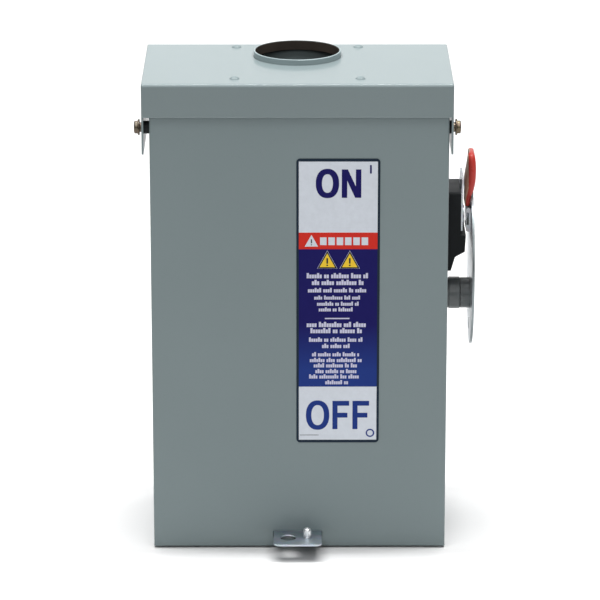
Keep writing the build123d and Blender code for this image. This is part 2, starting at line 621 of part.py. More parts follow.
def return_spring():
    """Torsion spring coiled round the shaft, with straight legs to the bearing and the crank."""
    coil = Helix(pitch=2.6, height=SPRING_X[1] - SPRING_X[0], radius=SPRING_RADIUS)
    wire = Plane(coil @ 0, z_dir=coil % 0) * Circle(SPRING_WIRE)
    spring = Pos(SPRING_X[0], PIVOT_Y, PIVOT_Z) * Rot(0, 90, 0) * sweep(wire, path=coil)
    leg_z = PIVOT_Z - SPRING_RADIUS + LEG_OFFSET
    fixed_leg = rod_x(SPRING_WIRE, BEARING_X[1][1], SPRING_X[0] + 0.6, PIVOT_Y, leg_z)
    moving_leg = rod_x(SPRING_WIRE, SPRING_X[1] - 0.6, CRANK_X[0] - 0.3, PIVOT_Y, leg_z)
    return spring + fixed_leg + moving_leg


def ground_bar():
    """Equipment-grounding bar on the back wall."""
    bar = block(*GROUND_X, -13, -SHEET, GROUND_Z - 5, GROUND_Z + 5)
    for x in GROUND_SCREWS:
        bar = bar - rod_y(2.2, x, -13, -7, GROUND_Z)
        bar = bar - rod_z(2.4, x, -6.5, GROUND_Z - 5, GROUND_Z + 5)
    return bar


def ground_screws():
    screws = []
    for x in GROUND_SCREWS:
        screw = rod_y(2.2, x, -14, -9.2, GROUND_Z) + rod_y(3.6, x, -16.2, -13, GROUND_Z)
        screws.append(screw - block(x - 0.5, x + 0.5, -16.2, -15, GROUND_Z - 3.6, GROUND_Z + 3.6))
    return screws


NODES = {
    "box_wrap": box_wrap, "bottom_endwall": bottom_endwall, "knockout_discs": knockout_discs,
    "rain_hood": rain_hood, "hub_plate": hub_plate, "hub_screws": hub_screws, "hub_nuts": hub_nuts,
    "hinge_screws": hinge_screws, "hinge_washers": hinge_washers, "hinge_spacers": hinge_spacers,
    "hinge_nuts": hinge_nuts, "door": door, "door_hasp": door_hasp, "door_label": door_label,
    "box_hasp": box_hasp, "hasp_screw": hasp_screw, "handle_plate": handle_plate,
    "handle_grip": handle_grip, "handle_neck": handle_neck, "handle_hub": handle_hub,
    "handle_shaft": handle_shaft, "shaft_nut": shaft_nut, "shaft_housing": shaft_housing,
    "shaft_bushing": shaft_bushing, "bushing_nut": bushing_nut, "handle_base": handle_base,
    "lockout_plate": lockout_plate, "lockout_rivets": lockout_rivets, "base_fixings": base_fixings,
    "switch_base": switch_base, "base_screws": base_screws,
    "left_bearing": lambda: bearing_bracket(*BEARING_X[0]),
    "right_bearing": lambda: bearing_bracket(*BEARING_X[1]),
    "rotor_bar": rotor_bar, "switch_blades": switch_blades, "line_jaws": line_jaws,
    "load_clips": load_clips, "line_lugs": lambda: lugs(LINE_LUG_Z), "load_lugs": lambda: lugs(LOAD_LUG_Z),
    "line_lug_screws": lambda: lug_screws(LINE_LUG_Z), "load_lug_screws": lambda: lug_screws(LOAD_LUG_Z),
    "phase_barrier": phase_barrier, "line_shield": line_shield, "drive_crank": drive_crank,
    "return_spring": return_spring, "ground_bar": ground_bar, "ground_screws": ground_screws,
}

os.makedirs("parts", exist_ok=True)
for name, make in NODES.items():
    made = make()
    solids = [s for piece in (made if isinstance(made, list) else [made]) for s in piece.solids()]
    shape = solids[0] if len(solids) == 1 else Compound(children=solids)
    export_step(shape, f"parts/{name}.step")
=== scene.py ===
import json
from math import atan2, cos, pi, radians, sin, tau

import bmesh
import bpy
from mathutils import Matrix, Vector


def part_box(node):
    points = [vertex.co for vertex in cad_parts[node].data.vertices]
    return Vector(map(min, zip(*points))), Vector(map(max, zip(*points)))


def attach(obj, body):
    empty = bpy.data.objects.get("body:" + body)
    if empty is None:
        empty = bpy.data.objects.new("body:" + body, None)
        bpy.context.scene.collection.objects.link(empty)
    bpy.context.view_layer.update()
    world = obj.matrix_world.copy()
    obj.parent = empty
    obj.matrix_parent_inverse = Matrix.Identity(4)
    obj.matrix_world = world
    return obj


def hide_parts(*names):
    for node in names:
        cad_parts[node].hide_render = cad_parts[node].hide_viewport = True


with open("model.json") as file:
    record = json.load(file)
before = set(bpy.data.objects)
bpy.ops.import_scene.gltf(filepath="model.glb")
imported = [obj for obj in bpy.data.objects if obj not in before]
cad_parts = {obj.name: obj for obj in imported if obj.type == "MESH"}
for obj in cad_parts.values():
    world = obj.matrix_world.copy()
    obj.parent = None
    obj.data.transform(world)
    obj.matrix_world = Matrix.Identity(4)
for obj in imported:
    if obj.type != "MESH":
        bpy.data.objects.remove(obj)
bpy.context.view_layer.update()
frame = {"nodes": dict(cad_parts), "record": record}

# ------------------------------------------------------------------ measures

FLOOR_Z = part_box("box_wrap")[0].z
HUB_RADIUS = 0.033
HUB_Y = -0.039
LABEL_LOW, LABEL_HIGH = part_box("door_label")
LABEL_FACE = LABEL_LOW.y
LABEL_LEFT = LABEL_LOW.x
LABEL_TOP = LABEL_HIGH.z
LABEL_WIDTH = LABEL_HIGH.x - LABEL_LOW.x
LABEL_HEIGHT = LABEL_HIGH.z - LABEL_LOW.z
LAYER = 0.00005          # thickness of one layer of ink


# ------------------------------------------------------------ mesh functions

def new_piece(name, bm, material, body, smooth=35, replaced=()):
    """Turns a bmesh into a named piece that rides on a body."""
    bmesh.ops.recalc_face_normals(bm, faces=bm.faces)
    mesh = bpy.data.meshes.new(name)
    bm.to_mesh(mesh)
    bm.free()
    piece = bpy.data.objects.new(name, mesh)
    bpy.context.scene.collection.objects.link(piece)
    mesh.materials.append(material)
    mesh.shade_smooth()
    mesh.set_sharp_from_angle(angle=radians(smooth))
    if replaced:
        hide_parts(*replaced)
    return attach(piece, body)


def lathe(bm, profile, centre, axis, steps=48):
    """Turns a profile of (along, radius) points about an axis through centre."""
    along = Vector(axis).normalized()
    side = along.orthogonal().normalized()
    up = along.cross(side)
    rings = []
    for distance, radius in profile:
        if radius == 0.0:
            rings.append([bm.verts.new(centre + along * distance)])
            continue
        rings.append([bm.verts.new(centre + along * distance
                                   + (side * cos(tau * n / steps) + up * sin(tau * n / steps)) * radius)
                      for n in range(steps)])
    for first, second in zip(rings, rings[1:]):
        for n in range(steps):
            m = (n + 1) % steps
            if len(first) == 1:
                bm.faces.new((first[0], second[n], second[m]))
            elif len(second) == 1:
                bm.faces.new((first[n], second[0], first[m]))
            else:
                bm.faces.new((first[n], second[n], second[m], first[m]))


def bridge(bm, first, second):
    """Closes the gap between two loops with as many vertices each."""
    for n in range(len(first)):
        m = (n + 1) % len(first)
        bm.faces.new((first[n], first[m], second[m], second[n]))


def skin(bm, rings):
    """A closed piece from a row of loops, with a flat face at each end."""
    for first, second in zip(rings, rings[1:]):
        bridge(bm, first, second)
    bm.faces.new(rings[0][::-1])
    bm.faces.new(rings[-1])


def slab(bm, outline, y_front, y_back):
    """A closed flat piece facing the front, from an outline of (x, z) points."""
    front = [bm.verts.new((x, y_front, z)) for x, z in outline]
    back = [bm.verts.new((x, y_back, z)) for x, z in outline]
    bm.faces.new(front)
    bm.faces.new(back[::-1])
    bridge(bm, front, back)


def ring(bm, outer, inner, y_front, y_back):
    """A closed flat ring between two outlines with as many points each."""
    layers = [[bm.verts.new((x, y, z)) for x, z in outline]
              for outline in (outer, inner) for y in (y_front, y_back)]
    outer_front, outer_back, inner_front, inner_back = layers
    for n in range(len(outer)):
        m = (n + 1) % len(outer)
        bm.faces.new((outer_front[n], outer_front[m], inner_front[m], inner_front[n]))
        bm.faces.new((outer_back[n], inner_back[n], inner_back[m], outer_back[m]))
        bm.faces.new((outer_front[n], outer_back[n], outer_back[m], outer_front[m]))
        bm.faces.new((inner_front[n], inner_front[m], inner_back[m], inner_back[n]))


def rectangle(x0, x1, z0, z1):
    return [(x0, z0), (x1, z0), (x1, z1), (x0, z1)]


def oval(x, z, half_width, half_height, square=2.0, steps=64):
    """A superellipse: square = 2 is an ellipse, more is boxier."""
    points = []
    for n in range(steps):
        c, s = cos(tau * n / steps), sin(tau * n / steps)
        points.append((x + half_width * abs(c) ** (2 / square) * (1 if c > 0 else -1),
                       z + half_height * abs(s) ** (2 / square) * (1 if s > 0 else -1)))
    return points


# ----------------------------------------------------------------- materials

class Nodes:
    """A material's node tree, with short calls for what the finishes share."""

    def __init__(self, name):
        self.material = bpy.data.materials.new(name)
        self.material.use_nodes = True
        self.tree = self.material.node_tree
        self.shader = self.tree.nodes["Principled BSDF"]
        self.place = self.add("ShaderNodeTexCoord").outputs["Object"]

    def add(self, kind, **values):
        node = self.tree.nodes.new(kind)
        for key, value in values.items():
            setattr(node, key, value)
        return node

    def link(self, source, target):
        self.tree.links.new(source, target)

    def stretched(self, scale):
        mapping = self.add("ShaderNodeMapping")
        mapping.inputs["Scale"].default_value = scale
        self.link(self.place, mapping.inputs["Vector"])
        return mapping.outputs["Vector"]

    def noise(self, scale, detail=4.0, rough=0.55, where=None):
        node = self.add("ShaderNodeTexNoise")
        node.inputs["Scale"].default_value = scale
        node.inputs["Detail"].default_value = detail
        node.inputs["Roughness"].default_value = rough
        self.link(where or self.place, node.inputs["Vector"])
        return node.outputs["Fac"]

    def cells(self, scale):
        node = self.add("ShaderNodeTexVoronoi")
        node.inputs["Scale"].default_value = scale
        self.link(self.place, node.inputs["Vector"])
        return node.outputs["Color"]

    def between(self, source, low, high, source_low=0.3, source_high=0.7):
        """Maps a value from one range to another, clamped at both ends."""
        node = self.add("ShaderNodeMapRange")
        for key, value in zip(("From Min", "From Max", "To Min", "To Max"),
                              (source_low, source_high, low, high)):
            node.inputs[key].default_value = value
        self.link(source, node.inputs["Value"])
        return node.outputs["Result"]

    def mix(self, share, first, second, blend="MIX"):
        node = self.add("ShaderNodeMix", data_type="RGBA", blend_type=blend)
        factor, colour_a, colour_b = node.inputs["Factor"], node.inputs[6], node.inputs[7]
        for socket, value in ((factor, share), (colour_a, first), (colour_b, second)):
            if isinstance(value, (float, int)):
                socket.default_value = value
            elif isinstance(value, tuple):
                socket.default_value = (*value, 1.0)
            else:
                self.link(value, socket)
        return node.outputs[2]

    def rounded(self, radius):
        """The surface's normal with its edges rounded off."""
        node = self.add("ShaderNodeBevel", samples=6)
        node.inputs["Radius"].default_value = radius
        return node.outputs["Normal"]

    def edge(self, radius):
        """1 along convex edges, 0 on open faces."""
        bend = self.add("ShaderNodeVectorMath", operation="DOT_PRODUCT")
        self.link(self.rounded(radius), bend.inputs[0])
        self.link(self.add("ShaderNodeNewGeometry").outputs["Normal"], bend.inputs[1])
        return self.between(bend.outputs["Value"], 1.0, 0.0, 0.72, 0.98)

    def bump(self, height, strength, distance, normal=None):
        node = self.add("ShaderNodeBump")
        node.inputs["Strength"].default_value = strength
        node.inputs["Distance"].default_value = distance
        self.link(height, node.inputs["Height"])
        if normal is not None:
            self.link(normal, node.inputs["Normal"])
        return node.outputs["Normal"]

    def finish(self, colour, roughness, normal, **constants):
        for socket, value in (("Base Color", colour), ("Roughness", roughness), ("Normal", normal)):
            self.link(value, self.shader.inputs[socket])
        for name, value in constants.items():
            self.shader.inputs[name.replace("_", " ")].default_value = value
        return self.material


def tint(colour, factor):
    return tuple(min(1.0, c * factor) for c in colour)


ENAMEL_TONE = (0.204, 0.251, 0.258)
PEEL_SCALE = 420.0       # orange peel of baked enamel
PEEL_DEPTH = 0.0001
SHEET_EDGE = 0.00018     # radius of a painted sheet edge


def enamel(name, coat=0.05, pale=1.0):
    """Baked enamel on sheet steel: fine orange peel, faint clouding, and a painted highlight along its
    edges.
    """
    n = Nodes(name)
    base = tint(ENAMEL_TONE, pale)
    cloud = n.noise(7.0, 1.5)
    colour = n.mix(n.between(cloud, 0.0, 1.0, 0.2, 0.8), tint(base, 0.97), tint(base, 1.03))
    speck = n.between(n.noise(900.0, 2.0), 0.0, 0.10, 0.62, 0.72)
    colour = n.mix(speck, colour, tint(base, 0.55))
    # painted highlight: convex edges are lightened
    colour = n.mix(n.between(n.edge(0.0003), 0.0, 0.08, 0.0, 1.0), colour, tint(base, 1.3))
    normal = n.bump(n.noise(PEEL_SCALE, 3.0, 0.5), 0.18, PEEL_DEPTH, n.rounded(SHEET_EDGE))
    roughness = n.between(n.noise(14.0, 2.0), 0.27, 0.31, 0.2, 0.8)
    return n.finish(colour, roughness, normal,
                    Coat_Weight=coat, Coat_Roughness=0.10, Specular_IOR_Level=0.15)


def hub_enamel():
    """Enamel painted lighter outside the rim of the conduit opening as painted light, and dark brown in its
    bore as painted shade.
    """
    n = Nodes("hub_enamel")
    flat = n.add("ShaderNodeVectorMath", operation="MULTIPLY")
    flat.inputs[1].default_value = (1.0, 1.0, 0.0)
    n.link(n.place, flat.inputs[0])
    reach = n.add("ShaderNodeVectorMath", operation="DISTANCE")
    reach.inputs[1].default_value = (0.0, HUB_Y, 0.0)
    n.link(flat.outputs[0], reach.inputs[0])
    outside = n.between(reach.outputs["Value"], 0.0, 1.0, HUB_RADIUS + 0.0002, HUB_RADIUS + 0.0005)
    cloud = n.between(n.noise(7.0, 1.5), 0.0, 1.0, 0.2, 0.8)
    # painted light: the enamel outside the bore is 1.3 to 1.4 times the door's tone
    lit_paint = n.mix(cloud, tint(ENAMEL_TONE, 1.3), tint(ENAMEL_TONE, 1.4))
    # painted shade: dark brown in the bore stands in for the shade inside the opening
    bore_shade = n.mix(n.between(n.noise(60.0, 4.0), 0.0, 1.0), (0.040, 0.033, 0.028), (0.060, 0.050, 0.042))
    normal = n.bump(n.noise(PEEL_SCALE, 3.0, 0.5), 0.18, PEEL_DEPTH, n.rounded(SHEET_EDGE))
    roughness = n.between(n.noise(14.0, 2.0), 0.27, 0.33, 0.2, 0.8)
    return n.finish(n.mix(outside, bore_shade, lit_paint), roughness, normal,
                    Coat_Weight=0.05, Coat_Roughness=0.10, Specular_IOR_Level=0.15)


def plated(name, base, shade, rough, grain=180.0):
    """Electroplated steel: rolled grain, cloudy passivation, and edges paler from rubbing and a painted
    highlight.
    """
    n = Nodes(name)
    cloud = n.noise(45.0, 5.0, 0.6)
    colour = n.mix(n.between(cloud, 0.0, 1.0), base, shade)
    colour = n.mix(0.07, colour, n.cells(260.0), "OVERLAY")
    # edges paler from rubbing and a painted highlight
    colour = n.mix(n.between(n.edge(0.0006), 0.0, 0.45, 0.0, 1.0), colour, tint(base, 1.3))
    rolled = n.noise(grain, 5.0, 0.6, n.stretched((1.0, 1.0, 9.0)))
    normal = n.bump(rolled, 0.16, 0.0001, n.rounded(0.0004))
    roughness = n.between(n.noise(70.0, 5.0), *rough)
    return n.finish(colour, roughness, normal, Metallic=1.0)


def zinc_with_painted_light(name, inner, outer, rim):
    """Zinc-plated sheet lying across X, with painted light: the inner face painted bright as lit, the outer
    face painted darker as shade, and painted shade on the sheared rim.
    """
    n = Nodes(name)
    split = n.add("ShaderNodeSeparateXYZ")
    n.link(n.add("ShaderNodeNewGeometry").outputs["Normal"], split.inputs[0])
    facing = n.add("ShaderNodeMath", operation="ABSOLUTE")
    n.link(split.outputs["X"], facing.inputs[0])
    # painted light: faces turned towards -X are painted bright, faces turned towards +X darker
    lit_and_shaded_faces = n.mix(n.between(split.outputs["X"], 0.0, 1.0, -0.5, 0.5), inner, outer)
    cloud = n.between(n.noise(38.0, 5.0, 0.6), 0.0, 0.5)
    colour = n.mix(cloud, lit_and_shaded_faces, n.mix(1.0, lit_and_shaded_faces, (0.72, 0.75, 0.78), "MULTIPLY"))
    colour = n.mix(0.10, colour, n.cells(240.0), "OVERLAY")
    # painted shade: the rim, whose faces look along Y and Z, is painted dark
    colour = n.mix(n.between(facing.outputs[0], 1.0, 0.0, 0.3, 0.7), colour, rim)
    rolled = n.noise(180.0, 5.0, 0.6, n.stretched((1.0, 1.0, 9.0)))
    normal = n.bump(rolled, 0.16, 0.0001, n.rounded(0.0003))
    return n.finish(colour, n.between(n.noise(70.0, 5.0), 0.30, 0.44), normal, Metallic=1.0)


def moulded(name, base, rough, texture=1400.0, strength=0.25, coat=0.0, edge_wear_and_highlight=0.25, shine=0.5):
    """Moulded plastic: spark-eroded texture, faint flow clouding, and edges paler from wear and a painted
    highlight.
    """
    n = Nodes(name)
    flow = n.noise(28.0, 4.0, 0.5, n.stretched((1.0, 1.0, 0.4)))
    colour = n.mix(n.between(flow, 0.0, 1.0), tint(base, 0.86), tint(base, 1.12))
    # edges paler from wear and a painted highlight
    worn_and_highlit = n.between(n.edge(0.0009), 0.0, edge_wear_and_highlight, 0.0, 1.0)
    colour = n.mix(worn_and_highlit, colour, tuple(c * 0.8 + 0.06 for c in base))
    normal = n.bump(n.noise(texture, 3.0), strength, 0.00008, n.rounded(0.0005))
    roughness = n.between(n.noise(60.0, 5.0), *rough)
    return n.finish(colour, roughness, normal,
                    Coat_Weight=coat, Coat_Roughness=0.12, Specular_IOR_Level=shine)


def printed(name, base):
    """Printed vinyl: ink with faint mottling under a slightly uneven clear film."""
    n = Nodes(name)
    mottle = n.noise(260.0, 5.0, 0.6)
    colour = n.mix(n.between(mottle, 0.0, 1.0), tint(base, 0.96), tint(base, 1.03))
    normal = n.bump(n.noise(120.0, 3.0), 0.06, 0.00008)
    roughness = n.between(n.noise(40.0, 4.0), 0.45, 0.55)
    return n.finish(colour, roughness, normal, Specular_IOR_Level=0.18)


def label_blue():
    """Navy ink that turns a little lighter towards the foot of the label."""
    n = Nodes("ink_navy")
    split = n.add("ShaderNodeSeparateXYZ")
    n.link(n.place, split.inputs[0])
    rise = n.between(split.outputs["Z"], 0.0, 1.0,
                     LABEL_LOW.z + 0.26 * LABEL_HEIGHT, LABEL_LOW.z + 0.42 * LABEL_HEIGHT)
    colour = n.mix(rise, (0.018, 0.042, 0.21), (0.012, 0.010, 0.100))
    mottle = n.between(n.noise(260.0, 5.0, 0.6), 0.0, 0.08)
    colour = n.mix(mottle, colour, (0.02, 0.025, 0.15))
    normal = n.bump(n.noise(120.0, 3.0), 0.06, 0.00008)
    return n.finish(colour, n.between(n.noise(40.0, 4.0), 0.45, 0.55), normal, Specular_IOR_Level=0.05)


def clear_sheet():
    """Clear polycarbonate with faint scuffs."""
    n = Nodes("clear_sheet")
    colour = n.mix(n.between(n.noise(60.0, 5.0), 0.0, 1.0), (0.80, 0.86, 0.88), (0.92, 0.95, 0.95))
    roughness = n.between(n.noise(300.0, 6.0, 0.7, n.stretched((1.0, 1.0, 6.0))), 0.04, 0.22)
    normal = n.bump(n.noise(90.0, 3.0), 0.05, 0.0001, n.rounded(0.0004))
    return n.finish(colour, roughness, normal, Transmission_Weight=0.92, IOR=1.5, Alpha=0.55)


ENAMEL = enamel("grey_green_enamel")
# the hood's enamel is a copy 3% darker than the door's: painted shade that tempers the brightly lit hood
# top
HOOD_ENAMEL = enamel("grey_green_enamel_hood", 0.35, 0.97)
HUB_ENAMEL = hub_enamel()
ZINC = plated("zinc_plate", (0.60, 0.63, 0.66), (0.48, 0.51, 0.55), (0.24, 0.38))
# the handle plate's zinc carries painted light and painted shade on its faces and rim
PLATE_ZINC = zinc_with_painted_light("zinc_plate_painted_light", (0.86, 0.88, 0.90), (0.46, 0.48, 0.51), (0.24, 0.27, 0.28))
BRASSY = plated("yellow_zinc_plate", (0.17, 0.13, 0.09), (0.11, 0.09, 0.07), (0.30, 0.44))
COPPER = plated("rolled_copper", (0.72, 0.36, 0.22), (0.56, 0.27, 0.17), (0.24, 0.42))
BRONZE = plated("sintered_bronze", (0.50, 0.34, 0.16), (0.38, 0.26, 0.13), (0.38, 0.55), 600.0)
TINNED = plated("tinned_aluminium", (0.68, 0.69, 0.70), (0.56, 0.57, 0.58), (0.30, 0.45), 320.0)
SPRING = plated("spring_steel", (0.38, 0.38, 0.40), (0.28, 0.29, 0.31), (0.26, 0.4), 420.0)
BRIGHT_ZINC = plated("zinc_plate_bright", (0.96, 0.97, 0.98), (0.90, 0.92, 0.94), (0.34, 0.48))
HASP_ZINC = plated("zinc_plate_hasp", (0.56, 0.61, 0.67), (0.46, 0.50, 0.56), (0.36, 0.48))
NECK_ZINC = plated("zinc_plate_neck", (0.52, 0.54, 0.56), (0.36, 0.38, 0.40), (0.20, 0.32))
# painted shade: a dark zinc for the box hasp under the door's tab
PAINTED_SHADE_ZINC = plated("zinc_plate_painted_shade", (0.16, 0.17, 0.18), (0.10, 0.11, 0.12), (0.45, 0.6))
CASTING = moulded("dark_casting_paint", (0.165, 0.180, 0.184), (0.30, 0.42), 800.0, 0.2, 0.0, 0.2, 0.6)
RED = moulded("red_vinyl", (0.48, 0.045, 0.035), (0.26, 0.36), 700.0, 0.10, 0.0, 0.12, 0.25)
# painted reflection: a pinkish-brown copy of the red vinyl for the grip's inner web
RED_WEB_REFLECTION = moulded("red_vinyl_web_painted_reflection", (0.62, 0.36, 0.26), (0.45, 0.58), 500.0, 0.4, 0.0, 0.12, 0.3)
BLACK = moulded("black_moulding", (0.020, 0.022, 0.024), (0.36, 0.50), shine=0.08)
PHENOLIC = moulded("brown_phenolic", (0.055, 0.034, 0.024), (0.30, 0.46), 900.0, 0.2, 0.1)
GREEN = plated("green_screw_finish", (0.05, 0.30, 0.10), (0.03, 0.20, 0.07), (0.34, 0.5))
CLEAR = clear_sheet()
INK_WHITE = printed("ink_white", (0.63, 0.67, 0.73))
INK_RED = printed("ink_red", (0.60, 0.022, 0.012))
INK_NAVY = label_blue()
INK_BLACK = printed("ink_black", (0.012, 0.018, 0.026))
INK_BORDER = printed("ink_border", (0.007, 0.018, 0.034))
INK_YELLOW = printed("ink_yellow", (0.83, 0.56, 0.035))
INK_PALE = printed("ink_pale", (0.56, 0.56, 0.70))

FINISHES = {
    "painted_steel": ENAMEL, "zinc_steel": ZINC, "yellow_zinc": BRASSY, "red_grip": RED,
    "black_moulding": BLACK, "label": INK_BORDER, "copper": COPPER, "bronze": BRONZE,
    "lug_aluminium": TINNED, "insulator": PHENOLIC, "clear_plastic": CLEAR,
    "spring_steel": SPRING, "green_screw": GREEN, "dark_casting": CASTING,
}
SPECIAL = {
    "door_hasp": HASP_ZINC, "box_hasp": PAINTED_SHADE_ZINC, "handle_plate": PLATE_ZINC,
    # painted shade: the hinge spacers take the black moulding so the recess by the hinge looks dark
    "hinge_spacers": BLACK, "rain_hood": HOOD_ENAMEL, "hub_plate": HUB_ENAMEL,
}


def dress_frame():
    """Gives every CAD node the finish of its material slot."""
    for row in frame["record"]["subparts"]:
        node = frame["nodes"][row["node"]]
        finish = SPECIAL.get(row["node"], FINISHES[row["material_slot"]])
        node.data.materials.clear()
        node.data.materials.append(finish)


# -------------------------------------------------------------------- label

def at(across, down):
    """A place on the label, as shares of its width and height from the top left."""
    return LABEL_LEFT + across * LABEL_WIDTH, LABEL_TOP - down * LABEL_HEIGHT


def ink(layer):
    """Front and back of a layer of ink, counted from the label's face."""
    return LABEL_FACE - layer * LAYER, LABEL_FACE - (layer - 1) * LAYER


def field(bm, left, right, top, bottom, layer):
    x0, z1 = at(left, top)
    x1, z0 = at(right, bottom)
    slab(bm, rectangle(x0, x1, z0, z1), *ink(layer))


def shape(bm, points, layer):
    slab(bm, [at(*point) for point in points], *ink(layer))


def letter_o(bm, centre, half_width, half_height, stroke, layer):
    x, z = at(*centre)
    outer = oval(x, z, half_width, half_height, 2.25)
    inner = oval(x, z, half_width - stroke, half_height - stroke * 0.9, 2.25)
    ring(bm, outer, inner, *ink(layer))


def letter_n(bm, left, right, top, bottom, stroke, layer):
    shape(bm, [(left, top), (left + 1.12 * stroke, top), (right - stroke, top + 0.6 * (bottom - top)),
               (right - stroke, top), (right, top), (right, bottom), (right - 1.12 * stroke, bottom),
               (left + stroke, top + 0.4 * (bottom - top)), (left + stroke, bottom), (left, bottom)], layer)


def letter_f(bm, left, right, top, bottom, stroke, bar, layer):
    middle = top + 0.42 * (bottom - top)
    arm = right - 0.1 * (right - left)
    shape(bm, [(left, top), (right, top), (right, top + bar), (left + stroke, top + bar),
               (left + stroke, middle), (arm, middle), (arm, middle + bar),
               (left + stroke, middle + bar), (left + stroke, bottom), (left, bottom)], layer)


def triangle(bm, centre, foot, half, height, layer):
    shape(bm, [(centre - half, foot), (centre + half, foot), (centre, foot - height)], layer)


def alert_mark(bm, centre, half, top, bar, dot_top, dot, layer):
    """A short bar over a dot."""
    field(bm, centre - half, centre + half, top, top + bar, layer)
    field(bm, centre - half, centre + half, dot_top, dot_top + dot, layer)


TEXT_ROWS = (  # height of the row's middle, left end, right end, height of a small letter
    (0.4090, 0.124, 0.870, 0.0128), (0.4327, 0.186, 0.840, 0.0128), (0.4596, 0.139, 0.864, 0.0110),
    (0.4853, 0.214, 0.784, 0.0100), (0.5070, 0.248, 0.754, 0.0100), (0.5270, 0.269, 0.739, 0.0100),
    (0.5810, 0.124, 0.844, 0.0128), (0.6026, 0.169, 0.814, 0.0128), (0.6340, 0.152, 0.809, 0.0110),
    (0.6563, 0.309, 0.665, 0.0110), (0.6860, 0.189, 0.779, 0.0105), (0.7065, 0.162, 0.805, 0.0105),
    (0.7255, 0.209, 0.754, 0.0105), (0.7460, 0.229, 0.729, 0.0105), (0.7650, 0.154, 0.809, 0.0105),
    (0.7856, 0.349, 0.630, 0.0105),
)
WORDS = (6, 2, 7, 4, 9, 3, 5, 8, 2, 6, 4)            # marks in each word, over and over
TALL_MARKS = (1, 0, 0, 0, 1, 0, 0, 0, 0, 1, 0)       # which marks stand taller, over and over


def text_rows(bm):
    """Rows of small plain marks, one for each letter, where a label has small print."""
    word = mark = 0
    gap = 0.0045
    for down, left, right, small in TEXT_ROWS:
        x = left
        wide = 2.05 * small
        while right - x > 2 * wide:
            length = WORDS[word % len(WORDS)]
            for _ in range(length):
                if x + wide > right:
                    break
                rise = 0.42 * small if TALL_MARKS[mark % len(TALL_MARKS)] else 0.0
                field(bm, x, x + wide, down - small / 2 - rise, down + small / 2, 3)
                x += wide + gap
                mark += 1
            x += 0.9 * wide
            word += 1
    field(bm, 0.343, 0.639, 0.5550, 0.5592, 3)


MARGIN_ACROSS = 0.029    # the dark border, as a share of the label's width
MARGIN_DOWN = 0.0100     # the dark border, as a share of the label's height
BAND_TOP = 0.2556
BAND_FOOT = 0.3137
NAVY_FOOT = 0.7995


def label_fields(whites, reds, navies):
    """White at the top and foot, a red band and a navy field between them."""
    left, right = MARGIN_ACROSS, 1 - MARGIN_ACROSS
    field(whites, left, right, MARGIN_DOWN, BAND_TOP, 1)
    field(reds, left, right, BAND_TOP, BAND_FOOT, 1)
    field(navies, left, right, BAND_FOOT, NAVY_FOOT, 1)
    field(whites, left, right, NAVY_FOOT, 1 - MARGIN_DOWN, 1)


def label_words(letters):
    """ON with its I mark at the top, OFF with its O mark at the foot."""
    letter_o(letters, (0.370, 0.0855), 0.0090, 0.01175, 0.0048, 2)
    letter_n(letters, 0.541, 0.774, 0.037, 0.135, 0.065, 2)
    field(letters, 0.876, 0.898, 0.022, 0.051, 2)
    letter_o(letters, (0.257, 0.9015), 0.0092, 0.0122, 0.0043, 2)
    for left, right in ((0.437, 0.640), (0.680, 0.882)):
        letter_f(letters, left, right, 0.8505, 0.9520, 0.062, 0.0172, 2)
    x, z = at(0.894, 0.9655)
    ring(letters, oval(x, z, 0.0034, 0.0034), oval(x, z, 0.0023, 0.0023), *ink(2))


def label_signs(whites, pales, yellows, blacks):
    """A white sign and six plain blocks in the red band, two yellow signs below it."""
    triangle(whites, 0.180, 0.3045, 0.080, 0.041, 2)
    alert_mark(blacks, 0.180, 0.007, 0.279, 0.014, 0.2965, 0.0035, 3)
    for n in range(6):
        left = 0.283 + 0.0995 * n
        field(whites, left, left + 0.078, 0.2725, 0.2995, 2)
    for centre in (0.370, 0.640):
        triangle(pales, centre, 0.3815, 0.122, 0.0635, 2)
        triangle(blacks, centre, 0.3810, 0.117, 0.0610, 3)
        triangle(yellows, centre, 0.3765, 0.092, 0.0480, 4)
        alert_mark(blacks, centre, 0.010, 0.3450, 0.019, 0.3675, 0.005, 5)


def make_label():
    """Seven thin prints on the label, one for each ink."""
    whites, reds, navies, pales, yellows, blacks, letters = (bmesh.new() for _ in range(7))
    label_fields(whites, reds, navies)
    label_words(letters)
    label_signs(whites, pales, yellows, blacks)
    text_rows(pales)
    field(blacks, 0.04, 0.27, 0.9722, 0.9738, 2)
    inks = (("label_white_fields", whites, INK_WHITE), ("label_red_band", reds, INK_RED),
            ("label_navy_field", navies, INK_NAVY), ("label_letters", letters, INK_NAVY),
            ("label_pale_print", pales, INK_PALE), ("label_yellow_signs", yellows, INK_YELLOW),
            ("label_black_print", blacks, INK_BLACK))
    for name, bm, material in inks:
        new_piece(name, bm, material, "door", 30)


# ------------------------------------------- screws, the grip and the neck

def threads(start, end, radius, pitch=0.0011, depth=0.00035):
    """Profile points of a thread, as plain grooves."""
    points = []
    step = pitch if end > start else -pitch
    count = int(abs(end - start) / pitch)
    for n in range(count):
        points += [(start + n * step, radius - depth), (start + (n + 0.5) * step, radius)]
    return points + [(end, radius - depth)]


HINGE_SHANK_RADIUS = 0.0029
HINGE_SHANK_END = 0.106      # how far from the middle of the box the shank's inner end stands
HEX_TURN = 0.25


def flatten_hex(bm, centre, tall, radius):
    """Presses six flats into the head above its flange."""
    for vert in bm.verts:
        offset = vert.co - centre
        reach = (offset.y ** 2 + offset.z ** 2) ** 0.5
        if abs(offset.x) > tall * 0.32 and radius * 0.6 < reach < radius * 0.9:
            angle = atan2(offset.z, offset.y) + HEX_TURN
            flat = radius * 0.84 / cos((angle % (pi / 3)) - pi / 6) * 0.93
            vert.co.y = centre.y + offset.y / reach * min(reach, flat)
            vert.co.z = centre.z + offset.z / reach * min(reach, flat)


